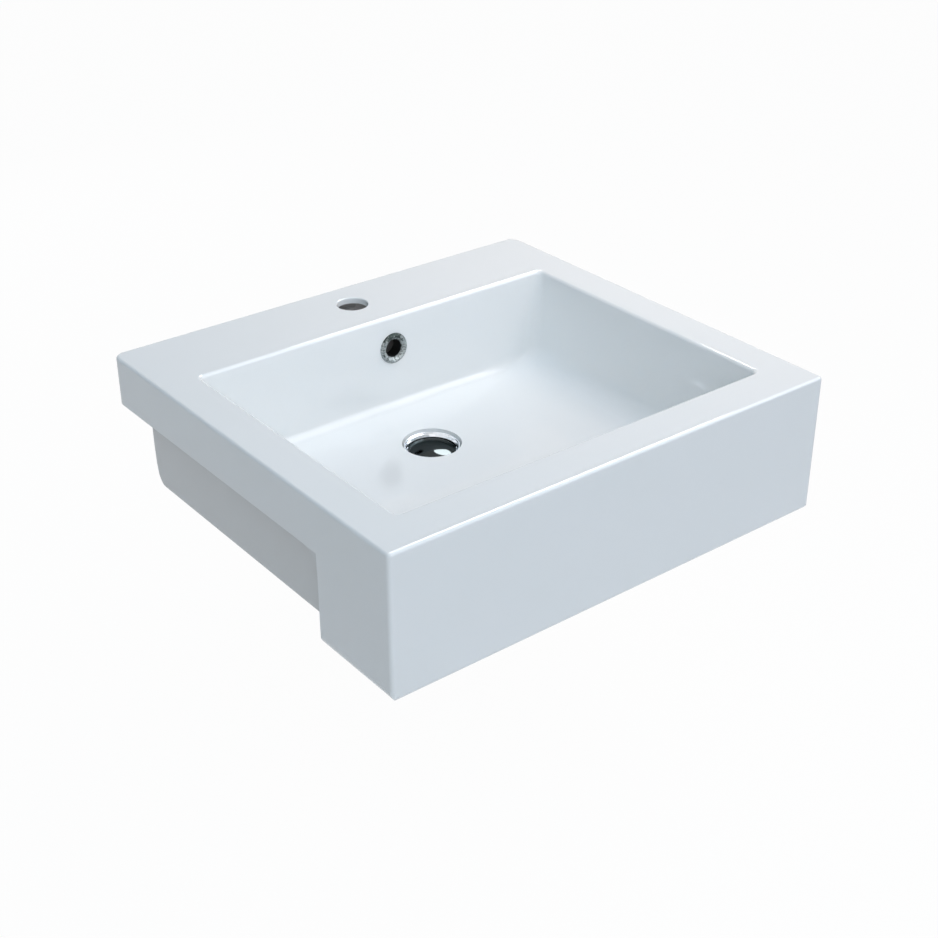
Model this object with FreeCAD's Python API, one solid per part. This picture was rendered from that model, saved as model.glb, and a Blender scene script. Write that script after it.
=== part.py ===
import FreeCAD, Part
import math
import os

# A square semi recessed washbasin: one ceramic casting with an overflow ring and a push-to-open waste.
# The back part lies on a worktop and the front part hangs before the cabinet as a deep apron.
#
# Millimetres. X runs to the right of someone who faces the wall, Y runs to the wall, Z is up.
# The origin is the middle of the back edge: Y = 0 is the wall, Z = 0 is the worktop.

# ---------------------------------------------------------------- overall sizes of the ceramic
BASIN_WIDTH = 550.0
BASIN_DEPTH = 500.0
RIM_HEIGHT = 55.0            # rim above the worktop
FRONT_HEIGHT = 157.5         # rim down to the apron's lower edge
APRON_DEPTH = 114.0          # apron from its face to the cabinet
WALL = 10.0                  # glazed ceramic
BACK_LIP = 24.0              # ceramic strip that lies on the worktop along the wall
APRON_BACK_WALL = 14.0

BACK_CORNER_R = 12.0         # upright outer corners at the wall
FRONT_CORNER_R = 4.0         # upright outer corners at the front
RIM_EDGE_R = 3.5             # outer edge of the rim
HEEL_R = 12.0                # lower back edge of the rim
ARMPIT_R = 22.0              # hollow corner between rim and apron
APRON_HEEL_R = 9.0           # lower back edge of the apron
APRON_TOE_R = 6.5            # lower front edge of the apron
APRON_CORNER_R = 11.0        # lower left and right corners of the apron

# ---------------------------------------------------------------- part of the body below the worktop
BODY_SIDE_INSET = 9.0
BODY_BACK_INSET = 51.0
BODY_DROP = 84.0
BODY_DRAFT = 3.0             # degrees
BODY_CORNER_R = 10.0
HOLLOW_STEP = 1.0            # the body's hollow starts this far behind the apron's back
BODY_HEEL_R = 18.0
BODY_EDGE_R = 4.0            # lower side edges
HOLLOW_CORNER_R = 4.0        # upright corners of the hollows in the underside

# ---------------------------------------------------------------- bowl
SIDE_RIM = 45.0
FRONT_RIM = 50.0
DECK = 104.0                 # flat tap deck between the wall and the bowl
BOWL_CORNER_R = 8.0
BOWL_CORNER_GROWTH = 0.35    # the corners widen by this share of the walls' slope inward
BOWL_EDGE_R = 4.0            # rounded edge where the rim turns into the bowl
BOWL_DEPTH = 107.0           # rim to the foot of the bowl's walls
FLOOR_FALL = 8.5             # from there down to the waste
SIDE_DRAFT = 8.0             # degrees
BACK_DRAFT = 3.0             # degrees
FRONT_DRAFT = 6.0            # degrees
SIDE_FOOT_R = 26.0           # wall to floor
BACK_FOOT_R = 12.0
FRONT_FOOT_R = 26.0

# ---------------------------------------------------------------- holes and hollow ways of the ceramic
TAP_HOLE_R = 17.5
TAP_FROM_WALL = 47.5
TAP_EDGE_R = 1.5             # glazed upper edge of the tap hole
TAP_SEAT_R = 31.0            # flat ground under the deck for the tap's washer
TAP_SEAT_DEPTH = 3.0
WASTE_FROM_WALL = 194.5
RECESS_TAPER = 1.2           # the waste's recess widens by this from its seat to the floor
RECESS_DEPTH = 15.5
OVERFLOW_DROP = 37.5         # rim to the middle of the overflow
OVERFLOW_FROM_MIDDLE = 14.0  # its ring sits to the right of the tap hole
DUCT_WIDTH = 60.0            # way of the overflow water behind and under the bowl
DUCT_GAP = 14.0              # behind the bowl
DUCT_HEIGHT = 10.0           # under the bowl
DUCT_WALL = 7.0
DUCT_FALL = 9.0              # the lower run drops by this on its way to the waste
DUCT_BEND_R = 8.0
BOSS_WALL = 4.0              # around the recess
RIB_WIDTH = 9.0              # webs that keep the casting from warping in the kiln
RIB_LIFT = 20.0              # webs stay this far above the apron's lower edge
APRON_RIB_FROM_MIDDLE = 165.0
DECK_RIB_FROM_MIDDLE = 110.0

# ---------------------------------------------------------------- overflow ring
RING_R = 17.8
RING_PROUD = 3.8
RING_EDGE = 1.8              # height of the ring's rim above the ceramic
RING_FUNNEL = 1.5            # the ring's inner lip lies this far below its crest
RING_FUNNEL_WIDTH = 1.3
RING_CREST_R = 1.8
RING_MOUTH_R = 10.4
RING_TUBE_WALL = 1.2
RING_TUBE_SPARE = 5.0        # the tube reaches this far into the duct
GRIP_THICK = 2.1
GRIP_RIBS = 4
GRIP_RIB_PROUD = 0.35

# ---------------------------------------------------------------- waste
TAIL_R = 20.955              # G 1 1/4 parallel thread
THREAD_HALF = 0.74           # thread's crest to its pitch line, where the nut is drawn
TAIL_WALL = 2.5
TAIL_LENGTH = 80.5           # below the flange
TAIL_FREE = 32.0             # left below the nut for the trap
FLANGE_R = 31.3
FLANGE_HEIGHT = 11.0
FLANGE_LIP = 1.3
FLANGE_FLOOR = 2.5
FLANGE_DISH = 1.8            # the dish narrows by this on its way down
FLANGE_LIP_CHAMFER = 0.4
DISH_FOOT_ROUND = 0.8        # inside corner where the flange's dish meets its floor
GASKET_THICK = 1.5
SLOT_WIDTH = 15.0
SLOTS = 4
HUB_WALL = 2.8
HUB_HEIGHT = 5.0
HUB_DROP = 27.0              # seat of the plug down to the top of the hub
SPOKES = 3
SPOKE_WIDTH = 4.0
SEAL_MARGIN = 7.0            # the rubber ring stays this far inside the ceramic boss
SEAL_THICK = 9.0
SEAL_NOSE = 4.5
SEAL_NOSE_WIDTH = 0.8
SLIP_MARGIN = 2.0
SLIP_THICK = 1.5
NUT_WALL = 5.0
NUT_HEIGHT = 12.0
NUT_SKIRT = 3.0
NUT_SKIRT_MARGIN = 1.0

# ---------------------------------------------------------------- plug and its click cartridge
PLUG_MARGIN = 1.2            # cap to the flange's dish
PLUG_EDGE = 3.0              # height of the cap's edge below the dome
PLUG_SKIRT = 1.9             # the edge hangs this far below the cap's flat underside
PLUG_CHAMFER = 0.5
PLUG_RIM = 2.1               # width of the cap's turned-down edge
PLUG_DOME = 4.5
PLUG_TRAVEL = 8.0
PLUG_SEAL_FOOT = 5.0         # width of the ring that presses on the flange
PLUG_SEAL_WEB = 1.2
PLUG_SEAL_THICK = 2.5
CLAMP_R = 17.0
CLAMP_THICK = 1.2
PLUG_NUT_WALL = 2.5
PLUG_NUT_HEIGHT = 4.0
STEM_R = 4.0
STEM_SHOULDER = 1.0
STEM_HEAD_LIP = 1.4
STEM_HEAD = 1.6
STEM_ENGAGE = 3.0            # length in the cap
CARTRIDGE_BORE_R = 7.2
CARTRIDGE_WALL = 1.8
CARTRIDGE_FLOOR = 3.0
COLLAR_WALL = 2.0
COLLAR_HEIGHT = 4.0
BUSH_FLANGE = 1.5
BUSH_SPIGOT = 5.0
SLIDER_HEIGHT = 5.0
KEY_WIDTH = 3.0
KEY_PROUD = 0.8
SPRING_LENGTH = 11.5         # with the plug shut
SPRING_WIRE_R = 0.65
SPRING_TURNS = 4
LOCKNUT_WALL = 2.5
LOCKNUT_HEIGHT = 4.0

# ---------------------------------------------------------------- clearances
LOOSE = 0.5                  # a flange in its recess
THROAT_CLEARANCE = 2.05      # the tail in the ceramic
EASY = 0.2                   # a screwed or slipped on piece, per side
RUNNING = 0.05               # a shaft in its bush, per side
STOP_GAP = 0.5               # left over at the top of the plug's travel
NUT_GAP = 1.1                # plug nut above the cartridge when the plug is shut

# ---------------------------------------------------------------- places worked out from the sizes
HALF_WIDTH = BASIN_WIDTH / 2
APRON_BACK_Y = -(BASIN_DEPTH - APRON_DEPTH)
APRON_LOW_Z = RIM_HEIGHT - FRONT_HEIGHT
DECK_UNDER_Z = RIM_HEIGHT - WALL
FOOT_Z = RIM_HEIGHT - BOWL_DEPTH
WASTE_Z = FOOT_Z - FLOOR_FALL
SEAT_Z = WASTE_Z - RECESS_DEPTH
RECESS_SEAT_R = FLANGE_R + LOOSE
RECESS_R = RECESS_SEAT_R + RECESS_TAPER
BOSS_R = RECESS_R + BOSS_WALL
THROAT_R = TAIL_R + THROAT_CLEARANCE
DUCT_TOP_Z = SEAT_Z - DUCT_WALL
DUCT_LOW_Z = DUCT_TOP_Z - DUCT_HEIGHT
BOSS_LOW_Z = DUCT_LOW_Z - DUCT_WALL
OVERFLOW_Z = RIM_HEIGHT - OVERFLOW_DROP
RING_TUBE_R = RING_MOUTH_R + RING_TUBE_WALL
OVERFLOW_HOLE_R = RING_TUBE_R + GRIP_THICK
FLANGE_LOW_Z = SEAT_Z + GASKET_THICK
PLUG_SEAT_Z = FLANGE_LOW_Z + FLANGE_FLOOR
TAIL_END_Z = FLANGE_LOW_Z - TAIL_LENGTH
BORE_R = TAIL_R - TAIL_WALL
SHANK_R = TAIL_R - THREAD_HALF
SHANK_LOW_Z = TAIL_END_Z + TAIL_FREE
SEAL_R = BOSS_R - SEAL_MARGIN
SEAL_LOW_Z = BOSS_LOW_Z - SEAL_THICK
SLIP_R = SEAL_R - SLIP_MARGIN
SLIP_LOW_Z = SEAL_LOW_Z - SLIP_THICK
NUT_FLATS = 2 * (TAIL_R + NUT_WALL)
DISH_FOOT_R = FLANGE_R - FLANGE_LIP - FLANGE_DISH
PLUG_R = DISH_FOOT_R - PLUG_MARGIN
PLUG_SEAL_R = PLUG_R - PLUG_RIM - EASY
CAP_UNDER_Z = PLUG_SEAT_Z + PLUG_SEAL_THICK
WEB_LOW_Z = CAP_UNDER_Z - PLUG_SEAL_WEB
CLAMP_LOW_Z = WEB_LOW_Z - CLAMP_THICK
PLUG_NUT_LOW_Z = CLAMP_LOW_Z - PLUG_NUT_HEIGHT
STEM_PIN_R = STEM_R - STEM_SHOULDER
STEM_HEAD_R = STEM_PIN_R + STEM_HEAD_LIP
CARTRIDGE_R = CARTRIDGE_BORE_R + CARTRIDGE_WALL
HUB_R = CARTRIDGE_R + EASY + HUB_WALL
BUSH_TOP_Z = PLUG_NUT_LOW_Z - NUT_GAP
CARTRIDGE_TOP_Z = BUSH_TOP_Z - BUSH_FLANGE
BUSH_LOW_Z = CARTRIDGE_TOP_Z - BUSH_SPIGOT
SLIDER_TOP_Z = BUSH_LOW_Z - PLUG_TRAVEL - STOP_GAP
SLIDER_LOW_Z = SLIDER_TOP_Z - SLIDER_HEIGHT
SLIDER_R = CARTRIDGE_BORE_R - EASY
SPRING_LOW_Z = SLIDER_LOW_Z - SPRING_LENGTH
CARTRIDGE_LOW_Z = SPRING_LOW_Z - CARTRIDGE_FLOOR
HUB_TOP_Z = PLUG_SEAT_Z - HUB_DROP
HUB_LOW_Z = HUB_TOP_Z - HUB_HEIGHT
BIG = 2 * (BASIN_WIDTH + BASIN_DEPTH)

WASTE_AXIS = FreeCAD.Vector(0, -WASTE_FROM_WALL, 0)
UP = FreeCAD.Vector(0, 0, 1)


# ================================================================ helpers
def point(x, y, z):
    """A place in space."""
    return FreeCAD.Vector(x, y, z)


def corner_arc(corner, before, after, radius):
    """Start, middle and end of the arc that rounds a corner between its two neighbours."""
    to_before = (before - corner).normalize()
    to_after = (after - corner).normalize()
    half = to_before.getAngle(to_after) / 2
    reach = radius / math.tan(half)
    inward = (to_before + to_after).normalize()
    middle = corner + inward * (radius / math.sin(half) - radius)
    return corner + to_before * reach, middle, corner + to_after * reach


def rounded_edges(corners):
    """Lines and arcs round a closed outline of (place, radius) corners."""
    arcs = []
    for index, (corner, radius) in enumerate(corners):
        before = corners[index - 1][0]
        after = corners[(index + 1) % len(corners)][0]
        arcs.append(corner_arc(corner, before, after, radius) if radius else (corner,) * 3)
    edges = []
    for index, (start, middle, end) in enumerate(arcs):
        previous_end = arcs[index - 1][2]
        edges.append(Part.LineSegment(previous_end, start).toShape())
        if corners[index][1]:
            edges.append(Part.Arc(start, middle, end).toShape())
    return edges


def rounded_wire(corners):
    """The same outline as one wire."""
    return Part.Wire(rounded_edges(corners))


def plate(corners, travel):
    """Solid swept straight from a flat outline of (place, radius) corners."""
    return Part.Face(rounded_wire(corners)).extrude(travel)


def plan_corners(left, right, front, back, z, radius):
    """The four corners of an upright box's outline at one height."""
    return [(point(left, front, z), radius), (point(right, front, z), radius),
            (point(right, back, z), radius), (point(left, back, z), radius)]


def upright_block(left, right, front, back, low, high, radius):
    """Box with rounded upright corners."""
    return plate(plan_corners(left, right, front, back, low, radius), point(0, 0, high - low))


def turned(profile, axis_point=WASTE_AXIS):
    """Solid of revolution about an upright axis; the profile is (radius, z, rounding) corners."""
    corners = [(point(r, 0, z), rounding) for r, z, rounding in profile]
    solid = Part.Face(rounded_wire(corners)).revolve(point(0, 0, 0), UP, 360)
    solid.translate(axis_point)
    return solid


def disc(radius, low, high, axis_point=WASTE_AXIS):
    """Plain round solid about an upright axis."""
    return Part.makeCylinder(radius, high - low, point(axis_point.x, axis_point.y, low))


def tube(inner, outer, low, high, axis_point=WASTE_AXIS):
    """Plain sleeve about an upright axis."""
    return disc(outer, low, high, axis_point).cut(disc(inner, low, high, axis_point))


def hexagon(flats, low, high):
    """Six sided prism about the waste's axis."""
    radius = flats / math.sqrt(3)
    corners = [(WASTE_AXIS + point(radius * math.cos(math.radians(60 * side)),
                                   radius * math.sin(math.radians(60 * side)), low), 0) for side in range(6)]
    return plate(corners, point(0, 0, high - low))


def around_waste(shape, turn):
    """Carries a piece made about the origin to the waste, turned by an angle in degrees."""
    placed = shape.copy()
    placed.rotate(point(0, 0, 0), UP, turn)
    placed.translate(WASTE_AXIS)
    return placed


# ================================================================ ceramic: outside
def outer_casting():
    """Rim and apron: plan, side and front outlines swept through each other, the rim's edge rounded."""
    plan = plate([(point(-HALF_WIDTH, -BASIN_DEPTH, APRON_LOW_Z), FRONT_CORNER_R),
                  (point(HALF_WIDTH, -BASIN_DEPTH, APRON_LOW_Z), FRONT_CORNER_R),
                  (point(HALF_WIDTH, 0, APRON_LOW_Z), BACK_CORNER_R),
                  (point(-HALF_WIDTH, 0, APRON_LOW_Z), BACK_CORNER_R)], point(0, 0, FRONT_HEIGHT))
    side = plate([(point(-HALF_WIDTH, 0, RIM_HEIGHT), 0),
                  (point(-HALF_WIDTH, 0, 0), HEEL_R),
                  (point(-HALF_WIDTH, APRON_BACK_Y, 0), ARMPIT_R),
                  (point(-HALF_WIDTH, APRON_BACK_Y, APRON_LOW_Z), APRON_HEEL_R),
                  (point(-HALF_WIDTH, -BASIN_DEPTH, APRON_LOW_Z), APRON_TOE_R),
                  (point(-HALF_WIDTH, -BASIN_DEPTH, RIM_HEIGHT), 0)], point(BASIN_WIDTH, 0, 0))
    front = plate([(point(-HALF_WIDTH, 0, RIM_HEIGHT), 0),
                   (point(HALF_WIDTH, 0, RIM_HEIGHT), 0),
                   (point(HALF_WIDTH, 0, APRON_LOW_Z), APRON_CORNER_R),
                   (point(-HALF_WIDTH, 0, APRON_LOW_Z), APRON_CORNER_R)], point(0, -BASIN_DEPTH, 0))
    casting = plan.common(side).common(front)
    rim_edges = [edge for edge in casting.Edges
                 if all(math.isclose(vertex.Z, RIM_HEIGHT) for vertex in edge.Vertexes)]
    return casting.makeFillet(RIM_EDGE_R, rim_edges)


def body_outside():
    """Drafted box that drops through the worktop, its lower edges rounded."""
    half = HALF_WIDTH - BODY_SIDE_INSET
    taper = BODY_DROP * math.tan(math.radians(BODY_DRAFT))
    high = WALL
    low = -BODY_DROP
    front = APRON_BACK_Y - APRON_BACK_WALL
    plan = upright_block(-half, half, front, -BODY_BACK_INSET, low, high, BODY_CORNER_R)
    side = plate([(point(-half, -BODY_BACK_INSET, high), 0),
                  (point(-half, -BODY_BACK_INSET, 0), 0),
                  (point(-half, -BODY_BACK_INSET - taper, low), BODY_HEEL_R),
                  (point(-half, front, low), 0),
                  (point(-half, front, high), 0)], point(2 * half, 0, 0))
    across = plate([(point(-half, front, high), 0), (point(-half, front, 0), 0),
                    (point(-half + taper, front, low), BODY_EDGE_R),
                    (point(half - taper, front, low), BODY_EDGE_R),
                    (point(half, front, 0), 0), (point(half, front, high), 0)],
                   point(0, -BODY_BACK_INSET - front, 0))
    return plan.common(side).common(across)


# ================================================================ ceramic: bowl
def wall_inset(depth, draft, lip, foot, foot_depth):
    """How far a bowl wall has moved in at a depth: a rounded lip, a drafted flat and a round foot."""
    angle = math.radians(draft)
    if depth < lip * (1 - math.sin(angle)):
        lip_centre = lip * math.tan(angle) - lip / math.cos(angle)
        return lip_centre + math.sqrt(lip ** 2 - (lip - depth) ** 2)
    centre_depth = foot_depth - foot
    if depth > centre_depth + foot * math.sin(angle):
        foot_centre = centre_depth * math.tan(angle) + foot / math.cos(angle)
        return foot_centre - math.sqrt(max(foot ** 2 - (depth - centre_depth) ** 2, 0))
    return depth * math.tan(angle)


def bowl_section(depth, grow):
    """Corners of the bowl's outline at a depth below the rim, made larger all round by a wall."""
    lip = 0 if grow else BOWL_EDGE_R
    foot_depth = BOWL_DEPTH + grow
    side = wall_inset(depth, SIDE_DRAFT, lip, SIDE_FOOT_R + grow, foot_depth)
    back = wall_inset(depth, BACK_DRAFT, lip, BACK_FOOT_R + grow, foot_depth)
    front = wall_inset(depth, FRONT_DRAFT, lip, FRONT_FOOT_R + grow, foot_depth)
    half = HALF_WIDTH - SIDE_RIM - side + grow
    corner = BOWL_CORNER_R + grow + (BOWL_CORNER_GROWTH * side if side > 0 else -side)
    return plan_corners(-half, half, -BASIN_DEPTH + FRONT_RIM + front - grow, -DECK - back + grow,
                        RIM_HEIGHT - depth, corner)


def waste_ring(radius, z, outline):
    """Circle about the waste, cut into arcs in proportion to an outline's lines and arcs."""
    def at(degrees):
        return WASTE_AXIS + point(radius * math.cos(math.radians(degrees)),
                                  radius * math.sin(math.radians(degrees)), z)
    whole = sum(edge.Length for edge in outline)
    start = 180 - 180 * outline[0].Length / whole
    arcs = []
    for edge in outline:
        span = 360 * edge.Length / whole
        arcs.append(Part.Arc(at(start), at(start + span / 2), at(start + span)).toShape())
        start += span
    return Part.Wire(arcs)


def loft_down(depths, grow, ruled):
    """Solid between the bowl's outlines at a run of depths."""
    return Part.makeLoft([rounded_wire(bowl_section(depth, grow)) for depth in depths], True, ruled)


def bowl_solid(grow):
    """The bowl's space, or with a wall added the outside of its shell: lip, walls, foot and floor."""
    lip = 0 if grow else BOWL_EDGE_R
    foot_depth = BOWL_DEPTH + grow
    foot_start = foot_depth - max(SIDE_FOOT_R, FRONT_FOOT_R, BACK_FOOT_R) - grow
    pieces = [loft_down((lip, foot_start), grow, True)]
    if lip:
        pieces.append(loft_down([lip * (1 - math.cos(math.radians(angle))) for angle in range(0, 91, 18)],
                                grow, False))
    pieces.append(loft_down([foot_start + (foot_depth - foot_start) * math.sin(math.radians(angle))
                             for angle in range(0, 91, 15)], grow, False))
    outline = rounded_edges(bowl_section(foot_depth, grow))
    pieces.append(Part.makeLoft([Part.Wire(outline), waste_ring(RECESS_R + grow, WASTE_Z - grow, outline)],
                                True, True))
    return pieces[0].fuse(pieces[1:]).removeSplitter()


def bowl_space():
    """Everything that is scooped out from above: bowl and waste recess."""
    recess = turned([(0, SEAT_Z, 0), (RECESS_SEAT_R, SEAT_Z, 0), (RECESS_R, WASTE_Z, 0),
                     (RECESS_R, WASTE_Z + WALL / 2, 0), (0, WASTE_Z + WALL / 2, 0)])
    return bowl_solid(0).fuse(recess)


# ================================================================ ceramic: underside
def web(middle, front, back, low):
    """One stiffening web, upright from a height to the rim."""
    return Part.makeBox(RIB_WIDTH, back - front, RIM_HEIGHT - low, point(middle - RIB_WIDTH / 2, front, low))


def underside_space():
    """Open hollows under deck, body and apron, less the bowl's shell and the webs."""
    half = HALF_WIDTH - BODY_SIDE_INSET - BODY_DROP * math.tan(math.radians(BODY_DRAFT)) - WALL
    body = upright_block(-half, half, APRON_BACK_Y + HOLLOW_STEP, -BACK_LIP, -BIG, DECK_UNDER_Z,
                         HOLLOW_CORNER_R)
    apron = upright_block(-HALF_WIDTH + WALL, HALF_WIDTH - WALL, -BASIN_DEPTH + WALL,
                          APRON_BACK_Y - APRON_BACK_WALL, -BIG, DECK_UNDER_Z, HOLLOW_CORNER_R)
    space = body.fuse(apron).cut(bowl_solid(WALL))
    for side in (-1, 1):
        space = space.cut(web(side * APRON_RIB_FROM_MIDDLE, -BASIN_DEPTH, APRON_BACK_Y,
                              APRON_LOW_Z + RIB_LIFT))
        space = space.cut(web(side * DECK_RIB_FROM_MIDDLE, -DECK - WALL, 0, 0))
    return space


def duct_outside():
    """Ceramic round the overflow's way, from the deck down behind the bowl and forward to the waste."""
    half = DUCT_WIDTH / 2 + DUCT_WALL
    back = -DECK + WALL + DUCT_GAP + DUCT_WALL
    front = -DECK - WALL
    return plate([(point(-half, back, RIM_HEIGHT - WALL / 2), 0),
                  (point(-half, back, BOSS_LOW_Z + DUCT_FALL), DUCT_BEND_R + DUCT_WALL),
                  (point(-half, -WASTE_FROM_WALL, BOSS_LOW_Z), 0),
                  (point(-half, -WASTE_FROM_WALL, WASTE_Z), 0),
                  (point(-half, front, FOOT_Z), 0),
                  (point(-half, front, RIM_HEIGHT - WALL / 2), 0)], point(2 * half, 0, 0))


def duct_space():
    """The overflow's way itself."""
    half = DUCT_WIDTH / 2
    back = -DECK + WALL + DUCT_GAP
    front = -DECK + WALL
    return plate([(point(-half, back, DECK_UNDER_Z), 0),
                  (point(-half, back, DUCT_LOW_Z + DUCT_FALL), DUCT_BEND_R),
                  (point(-half, -WASTE_FROM_WALL, DUCT_LOW_Z), 0),
                  (point(-half, -WASTE_FROM_WALL, DUCT_TOP_Z), 0),
                  (point(-half, RECESS_R - WASTE_FROM_WALL, DUCT_TOP_Z), 0),
                  (point(-half, front, FOOT_Z - WALL), 0),
                  (point(-half, front, DECK_UNDER_Z), 0)], point(DUCT_WIDTH, 0, 0))


def on_back_wall(shape):
    """Carries a piece made about Z onto the bowl's back wall, square to its draft, at the overflow."""
    placed = shape.copy()
    placed.rotate(point(0, 0, 0), point(1, 0, 0), 90 - BACK_DRAFT)
    wall_y = -DECK - OVERFLOW_DROP * math.tan(math.radians(BACK_DRAFT))
    placed.translate(point(OVERFLOW_FROM_MIDDLE, wall_y, OVERFLOW_Z))
    return placed


def tap_opening():
    """Tap hole with a rounded upper edge and the ground seat under it."""
    seat_z = DECK_UNDER_Z + TAP_SEAT_DEPTH
    return turned([(0, seat_z - WALL, 0), (TAP_SEAT_R, seat_z - WALL, 0), (TAP_SEAT_R, seat_z, 0),
                   (TAP_HOLE_R, seat_z, 0), (TAP_HOLE_R, RIM_HEIGHT, TAP_EDGE_R),
                   (TAP_SEAT_R, RIM_HEIGHT, 0), (TAP_SEAT_R, RIM_HEIGHT + WALL, 0),
                   (0, RIM_HEIGHT + WALL, 0)], point(0, -TAP_FROM_WALL, 0))


def ceramic_basin():
    """The one casting, with its waste seat, overflow way and tap hole."""
    casting = outer_casting().fuse(body_outside()).cut(underside_space())
    casting = casting.fuse([disc(BOSS_R, BOSS_LOW_Z, WASTE_Z), duct_outside()])
    overflow_hole = on_back_wall(disc(OVERFLOW_HOLE_R, -WALL - DUCT_GAP / 2, WALL / 2, point(0, 0, 0)))
    throat = disc(THROAT_R, BOSS_LOW_Z - WALL, WASTE_Z)
    return casting.cut([bowl_space(), duct_space(), throat, tap_opening(), overflow_hole]).removeSplitter()


# ================================================================ overflow ring
def overflow_ring():
    """Rolled ring with a funnel mouth and the tube that goes through the ceramic."""
    depth = WALL + RING_TUBE_SPARE
    ring = turned([(RING_R, 0, 0), (RING_R, RING_EDGE, 0),
                   (RING_R - RING_PROUD, RING_PROUD, RING_CREST_R),
                   (RING_MOUTH_R + RING_FUNNEL_WIDTH, RING_PROUD - RING_FUNNEL, RING_CREST_R),
                   (RING_MOUTH_R, 0, 0), (RING_MOUTH_R, -depth, 0),
                   (RING_TUBE_R, -depth, 0), (RING_TUBE_R, 0, 0)], point(0, 0, 0))
    return on_back_wall(ring)


def overflow_grip():
    """Ribbed rubber sleeve that holds the ring's tube in the ceramic."""
    inner = RING_TUBE_R + EASY
    outer = OVERFLOW_HOLE_R - GRIP_RIB_PROUD - EASY
    pitch = WALL / GRIP_RIBS
    profile = [(inner, 0, 0)]
    for rib in range(GRIP_RIBS):
        profile += [(outer, -pitch * rib, 0), (outer + GRIP_RIB_PROUD, -pitch * (rib + 0.5), 0)]
    profile += [(outer, -WALL, 0), (inner, -WALL, 0)]
    return on_back_wall(turned(profile, point(0, 0, 0)))


# ================================================================ waste
def waste_body():
    """Dished flange, threaded tail with overflow slots, and the spoked hub of the cartridge."""
    lip_z = FLANGE_LOW_Z + FLANGE_HEIGHT
    lip_r = FLANGE_R - FLANGE_LIP
    ease = FLANGE_LIP_CHAMFER
    body = turned([(TAIL_R, TAIL_END_Z, 0), (TAIL_R, SHANK_LOW_Z, 0), (SHANK_R, SHANK_LOW_Z, 0),
                   (SHANK_R, FLANGE_LOW_Z, 0), (FLANGE_R, FLANGE_LOW_Z, 0), (FLANGE_R, lip_z - ease, 0),
                   (FLANGE_R - ease, lip_z, 0), (lip_r + ease, lip_z, 0), (lip_r, lip_z - ease, 0),
                   (DISH_FOOT_R, PLUG_SEAT_Z, DISH_FOOT_ROUND), (BORE_R, PLUG_SEAT_Z, 0),
                   (BORE_R, TAIL_END_Z, 0)])
    window = Part.makeBox(TAIL_R + WALL, SLOT_WIDTH, DUCT_HEIGHT, point(0, -SLOT_WIDTH / 2, DUCT_LOW_Z))
    body = body.cut([around_waste(window, 90 + 360 / SLOTS * slot) for slot in range(SLOTS)])
    spoke = Part.makeBox(TAIL_R - TAIL_WALL / 2, SPOKE_WIDTH, HUB_HEIGHT,
                         point(0, -SPOKE_WIDTH / 2, HUB_LOW_Z))
    spokes = [around_waste(spoke, 90 + 360 / SPOKES * turn) for turn in range(SPOKES)]
    body = body.fuse(spokes + [disc(HUB_R, HUB_LOW_Z, HUB_TOP_Z)])
    return body.cut(disc(CARTRIDGE_R + EASY, HUB_LOW_Z, HUB_TOP_Z)).removeSplitter()


def flange_gasket():
    """Flat ring between flange and ceramic."""
    return tube(TAIL_R + EASY, FLANGE_R - LOOSE, SEAT_Z, FLANGE_LOW_Z)


def tail_seal():
    """Thick rubber ring under the boss; its cone closes the throat."""
    inner = TAIL_R + EASY
    return turned([(inner, SEAL_LOW_Z, 0), (SEAL_R, SEAL_LOW_Z, 0), (SEAL_R, BOSS_LOW_Z, 0),
                   (THROAT_R - EASY, BOSS_LOW_Z, 0), (inner + SEAL_NOSE_WIDTH, BOSS_LOW_Z + SEAL_NOSE, 0),
                   (inner, BOSS_LOW_Z + SEAL_NOSE, 0)])


def slip_washer():
    """Thin ring that lets the nut turn on the rubber."""
    return tube(TAIL_R + EASY, SLIP_R, SLIP_LOW_Z, SEAL_LOW_Z)


def backnut():
    """Skirted hexagon nut that pulls the waste down."""
    low = SLIP_LOW_Z - NUT_HEIGHT
    chamfer = turned([(0, low, 0), (NUT_FLATS / 2, low, 0), (NUT_FLATS / 2 + NUT_HEIGHT, SLIP_LOW_Z, 0),
                      (0, SLIP_LOW_Z, 0)])
    skirt = disc(SLIP_R + NUT_SKIRT_MARGIN, SLIP_LOW_Z - NUT_SKIRT, SLIP_LOW_Z)
    nut = hexagon(NUT_FLATS, low, SLIP_LOW_Z).common(chamfer).fuse(skirt)
    return nut.cut(disc(SHANK_R + EASY, low, SLIP_LOW_Z))


# ================================================================ click cartridge
def cross_bar(reach, width, low, high):
    """Bar that crosses the waste's axis along X."""
    return Part.makeBox(2 * reach, width, high - low, WASTE_AXIS + point(-reach, -width / 2, low))


def cartridge_housing():
    """Barrel that stands in the hub on a six sided collar, with two key grooves in its bore."""
    barrel = disc(CARTRIDGE_R, CARTRIDGE_LOW_Z, CARTRIDGE_TOP_Z)
    collar = hexagon(2 * (CARTRIDGE_R + COLLAR_WALL), HUB_TOP_Z, HUB_TOP_Z + COLLAR_HEIGHT)
    bore = disc(CARTRIDGE_BORE_R, SPRING_LOW_Z, CARTRIDGE_TOP_Z)
    grooves = cross_bar(CARTRIDGE_BORE_R + KEY_PROUD, KEY_WIDTH + 2 * EASY, SLIDER_LOW_Z - EASY, BUSH_LOW_Z)
    return barrel.fuse(collar).cut([bore, grooves]).removeSplitter()


def cartridge_locknut():
    """Nut under the hub."""
    nut = hexagon(2 * (CARTRIDGE_R + LOCKNUT_WALL), HUB_LOW_Z - LOCKNUT_HEIGHT, HUB_LOW_Z)
    return nut.cut(disc(CARTRIDGE_R + EASY, HUB_LOW_Z - LOCKNUT_HEIGHT, HUB_LOW_Z))


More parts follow.
